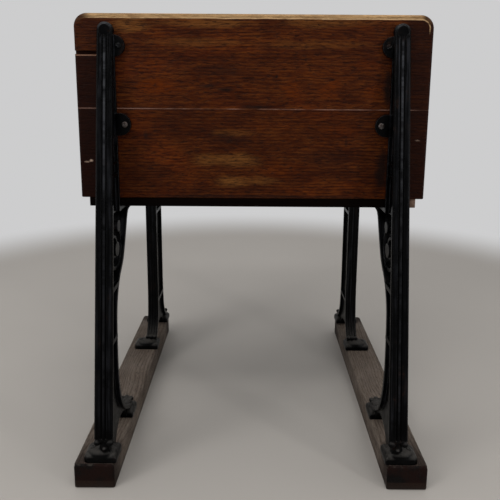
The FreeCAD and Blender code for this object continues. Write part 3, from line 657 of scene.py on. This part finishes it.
def screw_head(radius, slot_turn):
    """A domed screw head with a cut slot; its underside lies at height 0 over a short sunk
    shank."""
    sink, dome, half_slot = 0.0012, radius * 0.42, radius * 0.13
    angles = [math.radians(d) for d in range(78, 0, -13)]
    arc = [(radius * math.sin(a), dome * math.cos(a)) for a in angles]
    shank = [(0, -sink), (radius * 0.96, -sink), (radius, 0.0)]
    mesh = turned_solid(shank + arc + [(0, dome)])
    for side in (-1, 1):
        bmesh.ops.bisect_plane(mesh, geom=everything(mesh), plane_co=(0, side * half_slot, 0),
                               plane_no=(0, 1, 0))
    mesh.normal_update()
    inside = [f for f in mesh.faces
              if abs(f.calc_center_median().y) < half_slot * 0.99 and f.normal.z > 0.2]
    made = bmesh.ops.extrude_face_region(mesh, geom=inside)
    for vert in made["geom"]:
        if isinstance(vert, bmesh.types.BMVert):
            vert.co.z = max(min(vert.co.z, dome * 0.45), 0.0003)
    bmesh.ops.delete(mesh, geom=inside, context="FACES")
    turn = Matrix.Rotation(slot_turn, 3, "Z")
    bmesh.ops.rotate(mesh, verts=mesh.verts, matrix=turn)
    return mesh


def screw(name, place, normal, radius, turn, material, body, slot):
    """A screw head at a place, square to the normal there."""
    mesh = screw_head(radius, turn)
    stand = Vector((0, 0, 1)).rotation_difference(Vector(normal)).to_matrix().to_4x4()
    bmesh.ops.transform(mesh, verts=mesh.verts, matrix=Matrix.Translation(place) @ stand)
    return piece(name, mesh, material, body, slot)


def seat(node, start, direction):
    """Where a line from start first meets a CAD node, and the face's normal there."""
    hit, place, normal, _ = nodes[node].ray_cast(Vector(start), Vector(direction))
    if not hit:
        raise ValueError(f"nothing of {node} lies on the line from {start}")
    return place, normal


def seated_screw(name, node, start, direction, *look):
    """A screw head where a line first meets a CAD node. look is radius, turn, material, body
    and slot."""
    return screw(name, *seat(node, start, direction), *look)


def casting(name, lumps, low, high):
    """Cast lumps and a round-edged pad from low to high that run into one another, cut flat
    on the runner's top."""
    mesh = bmesh.new()
    middle, size = block(mesh, low, high)
    for offset, outer in ((0.0085, True), (0.0025, False)):
        upright = [e for e in mesh.edges
                   if abs(e.verts[0].co.z - e.verts[1].co.z) > 1e-4
                   and (abs(e.verts[0].co.x) > abs(middle.x)) == outer]
        upright = [e for e in upright
                   if abs(abs(e.verts[0].co.x - middle.x) - size.x / 2) < 1e-6]
        bmesh.ops.bevel(mesh, geom=upright, offset=offset, segments=5, affect="EDGES",
                        profile=0.5)
    crown = [e for e in mesh.edges if min(v.co.z for v in e.verts) > high[2] - 1e-5]
    bmesh.ops.bevel(mesh, geom=crown, offset=0.0080, segments=6, affect="EDGES", profile=0.5)
    for centre, radii in lumps:
        ball = bmesh.ops.create_icosphere(mesh, subdivisions=3, radius=1.0)["verts"]
        shape = Matrix.Translation(centre) @ Matrix.Diagonal((*radii, 1))
        bmesh.ops.transform(mesh, verts=ball, matrix=shape)
    data = bpy.data.meshes.new(name)
    mesh.to_mesh(data)
    mesh.free()
    rough = bpy.data.objects.new(name + "_rough", data)
    bpy.context.scene.collection.objects.link(rough)
    skin = rough.modifiers.new("skin", "REMESH")
    skin.mode = "VOXEL"
    skin.voxel_size = 0.0012
    melt = rough.modifiers.new("melt", "SMOOTH")
    melt.iterations = 5
    melted = rough.evaluated_get(bpy.context.evaluated_depsgraph_get())
    solid = bpy.data.meshes.new_from_object(melted)
    bpy.data.objects.remove(rough)
    mesh = bmesh.new()
    mesh.from_mesh(solid)
    cut = bmesh.ops.bisect_plane(mesh, geom=everything(mesh), plane_co=(0, 0, SOLE_LOW),
                                 plane_no=(0, 0, 1), clear_inner=True)
    rim = [e for e in cut["geom_cut"] if isinstance(e, bmesh.types.BMEdge)]
    bmesh.ops.holes_fill(mesh, edges=rim)
    return piece(name, mesh, black_iron, *IRON_PIECE)


def bar(name, low, high):
    """A short cast bar with rounded edges."""
    mesh = bmesh.new()
    block(mesh, low, high)
    bmesh.ops.bevel(mesh, geom=mesh.edges[:], offset=0.0008, segments=2, affect="EDGES",
                    profile=0.5)
    return piece(name, mesh, black_iron, *IRON_PIECE)


def corbel(name, sign, y, width, reach, base, drop):
    """The hollow-curved web under a bracket lug, which carries it from the leg. It reaches in
    to x = reach, below the height base."""
    root, steps, overlap = 0.2390, 10, 0.001
    angles = [math.pi / 2 * k / steps for k in range(steps + 1)]
    arc = [(reach + (root - 0.004 - reach) * math.sin(a), base - drop + drop * math.cos(a))
           for a in angles]
    outline = arc + [(root, base - drop), (root, base + overlap), (reach, base + overlap)]
    mesh = bmesh.new()
    rings = [[mesh.verts.new((sign * x, y + side * width / 2, z)) for x, z in outline]
             for side in (-1, 1)]
    return piece(name, skinned(mesh, rings), black_iron, *IRON_PIECE)


def rib(name, node, path, radii):
    """A half-round rib that follows a CAD node's face seen from -Y. path is (x, z) points from
    low to high."""
    mesh = bmesh.new()
    centres = [seat(node, (x, -0.16, z), (0, 1, 0))[0] for x, z in path]
    angles = [math.radians(a) for a in range(0, 360, 36)]
    rings = []
    for k, (centre, radius) in enumerate(zip(centres, radii)):
        along = (centres[min(k + 1, len(centres) - 1)] - centres[max(k - 1, 0)]).normalized()
        out = Vector((0, -1, 0)) - along * along.dot((0, -1, 0))
        out.normalize()
        side = along.cross(out)
        rings.append([mesh.verts.new(centre + radius * (out * math.cos(a) + side * math.sin(a)))
                      for a in angles])
    return piece(name, skinned(mesh, rings), black_iron, *IRON_PIECE)


# ---- The desk's own finishes -------------------------------------------------------------
def marks(strength, *places):
    """Patches on the back board's face: each place is (x, z, half width, half height, share
    of strength)."""
    return [((x, back_face, z), (w, 0.02, h), strength * share) for x, z, w, h, share in places]


dress("back_board_upper", oak(
    "oak_back_upper", extra=upper_extra, seed=1.3, lift=0.965, pith=(-0.10, 0.60), ring=0.0046,
    waves=0.026,
    patches=marks(0.9, (-0.205, 0.773, 0.050, 0.018, 0.75), (-0.08, 0.776, 0.10, 0.011, 0.6),
                  (0.12, 0.777, 0.10, 0.011, 0.5), (-0.10, 0.744, 0.12, 0.010, 0.35),
                  (0.10, 0.742, 0.14, 0.010, 0.3)),
    oranges=marks(0.9, (-0.163, 0.672, 0.050, 0.017, 1.0), (0.122, 0.664, 0.026, 0.016, 0.7),
                  (0.136, 0.677, 0.018, 0.010, 1.0), (0.065, 0.667, 0.022, 0.018, 0.8),
                  (0.205, 0.665, 0.020, 0.022, 0.7), (0.19, 0.71, 0.04, 0.012, 0.5)),
    stains=marks(1.0, (0.039, 0.6893, 0.0032, 0.0032, 1.0), (0.1335, 0.6845, 0.0075, 0.0028, 0.95),
                 (-0.075, 0.672, 0.020, 0.0040, 0.8), (-0.045, 0.667, 0.022, 0.004, 0.85),
                 # The tall dark mark at x 0.229, beside the right leg, is darker varnish and
                 # painted shadow of the leg.
                 (0.0, 0.638, 0.035, 0.004, 0.8), (0.229, 0.668, 0.013, 0.042, 0.95),
                 (-0.05, 0.700, 0.05, 0.014, 0.35), (-0.135, 0.705, 0.03, 0.016, 0.3))))
dress("back_board_lower", oak(
    "oak_back_lower", extra=lower_extra, seed=7.9, lift=0.86, pith=(-0.12, 0.72), ring=0.0052,
    patches=marks(0.8, (-0.075, 0.548, 0.045, 0.014, 0.75), (-0.025, 0.546, 0.05, 0.018, 0.85),
                  (-0.030, 0.509, 0.045, 0.013, 1.0), (0.02, 0.511, 0.035, 0.012, 0.6),
                  (-0.03, 0.594, 0.05, 0.009, 0.4)),
    oranges=marks(0.7, (-0.19, 0.62, 0.03, 0.02, 0.6), (0.15, 0.60, 0.05, 0.02, 0.6),
                  (0.05, 0.53, 0.06, 0.02, 0.5)),
    # The tall dark mark at x 0.224, beside the right leg, is darker varnish and painted shadow of
    # the leg.
    stains=marks(1.0, (0.224, 0.530, 0.016, 0.052, 0.9), (-0.04, 0.583, 0.05, 0.013, 0.4),
                 (-0.185, 0.588, 0.006, 0.010, 0.5), (0.16, 0.578, 0.004, 0.012, 0.5),
                 (0.12, 0.55, 0.08, 0.02, 0.3), (0.0, 0.482, 0.26, 0.006, 0.6))))
dress("front_board", oak(
    "oak_front", extra=inner, seed=12.1, pith=(0.33, 0.57), ring=0.005, lift=1.15,
    patches=[((0.0, 0.253, 0.67), (0.2, 0.02, 0.04), 0.6),
             ((0.12, 0.253, 0.52), (0.1, 0.02, 0.03), 0.5)]))
dress("top_ledge", oak(
    "oak_ledge", extra=desk_top, seed=21.7, pith=(-0.12, 0.86), ring=0.005, lift=1.3,
    patches=[((0.0, -0.12, 0.77), (0.25, 0.05, 0.02), 0.7)],
    stains=[((-0.2245, -0.119, 0.77), (0.05, 0.05, 0.02), 0.75)]))
dress("lid_board_rear", oak(
    "oak_lid_rear", extra=desk_top, seed=33.3, pith=(0.01, 0.86), ring=0.005, lift=1.35,
    patches=[((0.05, 0.03, 0.757), (0.22, 0.09, 0.04), 0.75)],
    stains=[((-0.12, 0.02, 0.757), (0.03, 0.02, 0.02), 0.8)]))
dress("lid_board_front", oak(
    "oak_lid_front", extra=desk_top, seed=41.9, pith=(0.17, 0.85), ring=0.005, lift=1.35,
    patches=[((-0.02, 0.19, 0.73), (0.24, 0.09, 0.04), 0.85)],
    stains=[((0.16, 0.15, 0.73), (0.018, 0.014, 0.02), 0.8)]))
bottom = oak("oak_bottom", seed=55.0, pith=(0.05, 0.38), extra=bottom_extra, wear=0.35,
             shine=0.015)
dress("bottom_board_rear", bottom)
dress("bottom_board_front", bottom)
for side, sign in SIDES:
    dress("side_panel_" + side, oak(
        "oak_side_" + side, extra=inner, turn=ALONG_Y, seed=60.0 + 5 * sign,
        pith=(-sign * 0.36, 0.61), ring=0.005, lift=1.1))
    dress("lid_batten_" + side, oak(
        "oak_batten_" + side, extra=batten_extra, turn=ALONG_Y, seed=70.0 + 5 * sign,
        pith=(-sign * 0.225, 0.64)))
    dress("runner_" + side, weathered("runner_" + side, (-sign * 0.20, -0.03), 80.0 + 5 * sign))

black_iron = iron("black_iron")
fluted_iron = iron("fluted_iron", fluted=True)
brass = metal("old_brass", ((0.150, 0.088, 0.034), (0.27, 0.165, 0.064)), 1.0, (0.34, 0.55),
              (0.105, 0.064, 0.030))
steel = metal("dull_steel", ((0.16, 0.15, 0.14), (0.46, 0.44, 0.41)), 1.0, (0.3, 0.55),
              (0.06, 0.035, 0.02))
old_screw = metal("old_screw", ((0.030, 0.026, 0.025), (0.12, 0.105, 0.10)), 0.7, (0.4, 0.6),
                  (0.03, 0.015, 0.009))
for side, _ in SIDES:
    dress("rear_leg_" + side, fluted_iron)
    dress("front_leg_" + side, black_iron)
    dress("hinge_ledge_leaf_" + side, brass)
    dress("hinge_lid_leaf_" + side, brass)
    dress("hinge_pin_" + side, steel)
dress("inkwell_pot", glaze("pot_glaze", pot_low, pot_high))

for node in ("back_board_lower", "front_board", "bottom_board_rear", "bottom_board_front",
             "side_panel_left", "side_panel_right", "lid_batten_left", "lid_batten_right"):
    soften(node, 0.0012, segments=2)
for side, _ in SIDES:
    soften("runner_" + side, 0.0045, segments=4)

# ---- Cast details and screws -------------------------------------------------------------
# Each foot: its screw's name, its casting's name, where it stands in Y and which way it points
FEET = (("rear", "rear_foot_toe", -0.280, -1), ("waist", "waist_foot_toe", -0.151, 1),
        ("heel", "front_foot_heel", 0.127, -1), ("toe", "front_foot_toe", 0.281, 1))
PAD_LOW, PAD_HIGH = (0.2274, -0.0207, SOLE_LOW - 0.003), (0.2836, 0.0207, 0.0580)
# Lumps of a foot: where, as (x, distance along the toe, z), and radii
SWELL = [((0.2550, 0.0045, 0.0555), (0.0255, 0.0165, 0.0110)),
         ((0.2550, 0.0020, 0.0530), (0.0275, 0.0200, 0.0070))]
FLANGE_KNUCKLES = [((0.2478, 0.0090, 0.0680), (0.0100, 0.0080, 0.0220)),
                   ((0.2478, 0.0150, 0.0860), (0.0160, 0.0055, 0.0045)),
                   ((0.2375, 0.0165, 0.0805), (0.0068, 0.0062, 0.0060)),
                   ((0.2590, 0.0165, 0.0805), (0.0062, 0.0060, 0.0056)),
                   ((0.2478, 0.0175, 0.0680), (0.0034, 0.0034, 0.0030))]
TOE_KNUCKLES = [((0.2440, -0.004, 0.0650), (0.0125, 0.0105, 0.0085)),
                ((0.2355, 0.0055, 0.0695), (0.0050, 0.0048, 0.0048)),
                ((0.2445, 0.0070, 0.0705), (0.0054, 0.0050, 0.0052)),
                ((0.2535, 0.0055, 0.0695), (0.0050, 0.0048, 0.0048))]
RIB_HEIGHTS = ([0.066 + 0.004 * k for k in range(12)] + [0.12 + 0.0125 * k for k in range(25)]
               + [0.440, 0.448])
RIB_RADII = [0.0014 + 0.0006 * max(0.0, (0.20 - z) / 0.13) for z in RIB_HEIGHTS]
LUG_OUT = 0.007                # how far the lugs' screws stand off the back board's face
LEAF_SCREW, LUG_SCREW, BRACKET_SCREW, FOOT_SCREW, BATTEN_SCREW = (    # radii
    0.0031, 0.0052, 0.0050, 0.0050, 0.0042)
HINGE_X, BATTEN_X = 0.160, 0.225


def foot(name, sign, y, way, knuckles):
    """The swollen toe cast round one sole. way is the side that it points to."""
    placed = [((sign * x, y + way * along, z), radii)
              for (x, along, z), radii in SWELL + knuckles]
    near, far = sorted((sign * PAD_LOW[0], sign * PAD_HIGH[0]))
    casting(name, placed, (near, y + PAD_LOW[1], PAD_LOW[2]), (far, y + PAD_HIGH[1], PAD_HIGH[2]))


def rear_line(z):
    """The rear face of the rear legs' flange."""
    return back_face - 0.010 - (0.776 - z) * 0.1512


for side, sign in SIDES:
    for name, toe, y, way in FEET:
        foot(f"{toe}_{side}", sign, y, way, FLANGE_KNUCKLES if name == "rear" else TOE_KNUCKLES)
    for k, across in enumerate((0.2350, 0.2412, 0.2474, 0.2536), start=1):
        rib(f"front_leg_rib_{k}_{side}", "front_leg_" + side,
            [(sign * across, z) for z in RIB_HEIGHTS], RIB_RADII)
    corbel("bracket_corbel_" + side, sign, y=-0.127, width=0.014, reach=0.2125, base=0.457,
           drop=0.020)
    for k, z in enumerate((0.5435, 0.5225), start=1):
        bar(f"web_tie_{k}_{side}", (sign * 0.2330, rear_line(z) + 0.005, z - 0.0022),
            (sign * 0.2395, back_face - 0.0004, z + 0.0022))
    screw("lug_screw_upper_" + side, (sign * 0.2245, back_face - LUG_OUT, 0.738), (0, -1, 0),
          LUG_SCREW, 0.5 * sign, black_iron, *IRON_PIECE)
    screw("lug_screw_lower_" + side, (sign * 0.218, back_face - LUG_OUT, 0.6075), (0, -1, 0),
          LUG_SCREW, 1.2 * sign + 0.3, old_screw, *IRON_PIECE)
    for name, y in (("middle", 0.138), ("front", 0.229)):
        screw(f"bracket_screw_{name}_{side}", (sign * 0.222, y, 0.457), (0, 0, -1),
              BRACKET_SCREW, y * 9, old_screw, *IRON_PIECE)
    for name, _, y, way in FEET:
        screw(f"foot_screw_{name}_{side}", (sign * 0.2700, y + way * 0.004, 0.0637),
              (sign * 0.42, 0, 1), FOOT_SCREW, 9 * y + sign, black_iron, *IRON_PIECE)
    for k, along in enumerate((-0.020, 0.0, 0.020)):
        x = sign * HINGE_X + along
        seated_screw(f"ledge_leaf_screw_{k + 1}_{side}", "hinge_ledge_leaf_" + side,
                     (x, -0.0915, 0.9), (0, 0, -1), LEAF_SCREW, 1.1 * k + sign, brass,
                     "desk", "hinge_brass")
        seated_screw(f"lid_leaf_screw_{k + 1}_{side}", "hinge_lid_leaf_" + side,
                     (x, -0.0515, 0.9), (0, 0, -1), LEAF_SCREW, 0.8 * k - sign, brass,
                     "lid", "hinge_brass")
        seated_screw(f"batten_screw_{k + 1}_{side}", "lid_batten_" + side,
                     (sign * BATTEN_X, 0.080 + 4.6 * along, 0.5), (0, 0, 1), BATTEN_SCREW,
                     0.9 * k + sign, old_screw, "lid", "pin_steel")

# ---- Floor, light and camera -------------------------------------------------------------
WALL = (0.61, 0.61, 0.615)
AMBIENT = 0.55
FLOOR_REACH = 12.0


def floor_finish():
    """A pale matt floor that melts into the wall's colour away from the desk."""
    g = Graph("studio_floor", Roughness=0.7)
    x, y, _ = g.axes()
    cloud = g.noise(g.place, scale=3.0, detail=2)
    colour = g.mix(cloud, (0.282, 0.262, 0.240), (0.300, 0.279, 0.256))
    g.tree.links.new(colour, g.shader.inputs["Base Color"])
    glow = g.add("ShaderNodeEmission", {"Color": (*WALL, 1), "Strength": 1.0}).outputs[0]
    far = g.times(g.span(g.diagonal(x, y), 1.25, 1.75), seen_directly(g.tree))
    blend = g.add("ShaderNodeMixShader", {0: far, 1: g.shader.outputs[0], 2: glow})
    g.tree.links.new(blend.outputs[0], g.output.inputs[0])
    return g.material


data = bpy.data.meshes.new("studio_floor")
corners = [(x * FLOOR_REACH, y * FLOOR_REACH, 0) for x, y in ((-1, -1), (1, -1), (1, 1), (-1, 1))]
data.from_pydata(corners, [], [(0, 1, 2, 3)])
data.materials.append(floor_finish())
floor = bpy.data.objects.new("studio_floor", data)
bpy.context.scene.collection.objects.link(floor)

world = bpy.data.worlds.new("studio")
bpy.context.scene.world = world
world.use_nodes = True
tree = world.node_tree
tree.nodes.clear()
ambient = add_node(tree, "ShaderNodeBackground", {0: (1.0, 1.0, 1.0, 1), 1: AMBIENT})
backdrop = add_node(tree, "ShaderNodeBackground", {0: (*WALL, 1), 1: 1.0})
inputs = {0: seen_directly(tree), 1: ambient.outputs[0], 2: backdrop.outputs[0]}
shown = add_node(tree, "ShaderNodeMixShader", inputs)
add_node(tree, "ShaderNodeOutputWorld", {0: shown.outputs[0]})


def lamp(name, place, aim, size, power):
    light = bpy.data.lights.new(name, "AREA")
    light.shape = "RECTANGLE"
    light.size, light.size_y = size
    light.energy = power
    obj = bpy.data.objects.new(name, light)
    obj.location = place
    obj.rotation_mode = "QUATERNION"
    obj.rotation_quaternion = (Vector(aim) - Vector(place)).to_track_quat("-Z", "Y")
    bpy.context.scene.collection.objects.link(obj)


lamp("key", (-1.9, -1.7, 2.2), (0, -0.1, 0.35), (1.2, 1.2), 30)
lamp("top", (0.1, -0.4, 2.8), (0, -0.3, 0.1), (2.8, 2.8), 40)
lamp("top_strip", (0.0, -1.3, 2.6), (0, -0.2, 0.3), (2.0, 0.3), 14)
lamp("left_strip", (-1.9, -1.7, 0.85), (0, -0.1, 0.45), (0.2, 1.5), 7)
lamp("right_strip", (1.9, -1.7, 0.85), (0, -0.1, 0.45), (0.16, 1.5), 16)

# The camera was fitted to the photograph: a focal length of 550 pixels on 500, 10.3 degrees
# down and turned by 0.39 degrees
camera = bpy.data.objects.new("camera", bpy.data.cameras.new("camera"))
bpy.context.scene.collection.objects.link(camera)
camera.data.sensor_width = 36.0
camera.data.lens = 36.0 * 550 / 500
camera.data.shift_x = -0.0054
camera.data.shift_y = -0.13
pitch = Matrix.Rotation(math.radians(90 - 10.3), 4, "X")
roll = Matrix.Rotation(math.radians(0.39), 4, "Z")
camera.matrix_world = Matrix.Translation((0, -1.131, 0.675)) @ pitch @ roll
bpy.context.scene.camera = camera
bpy.context.scene.view_settings.view_transform = "Standard"
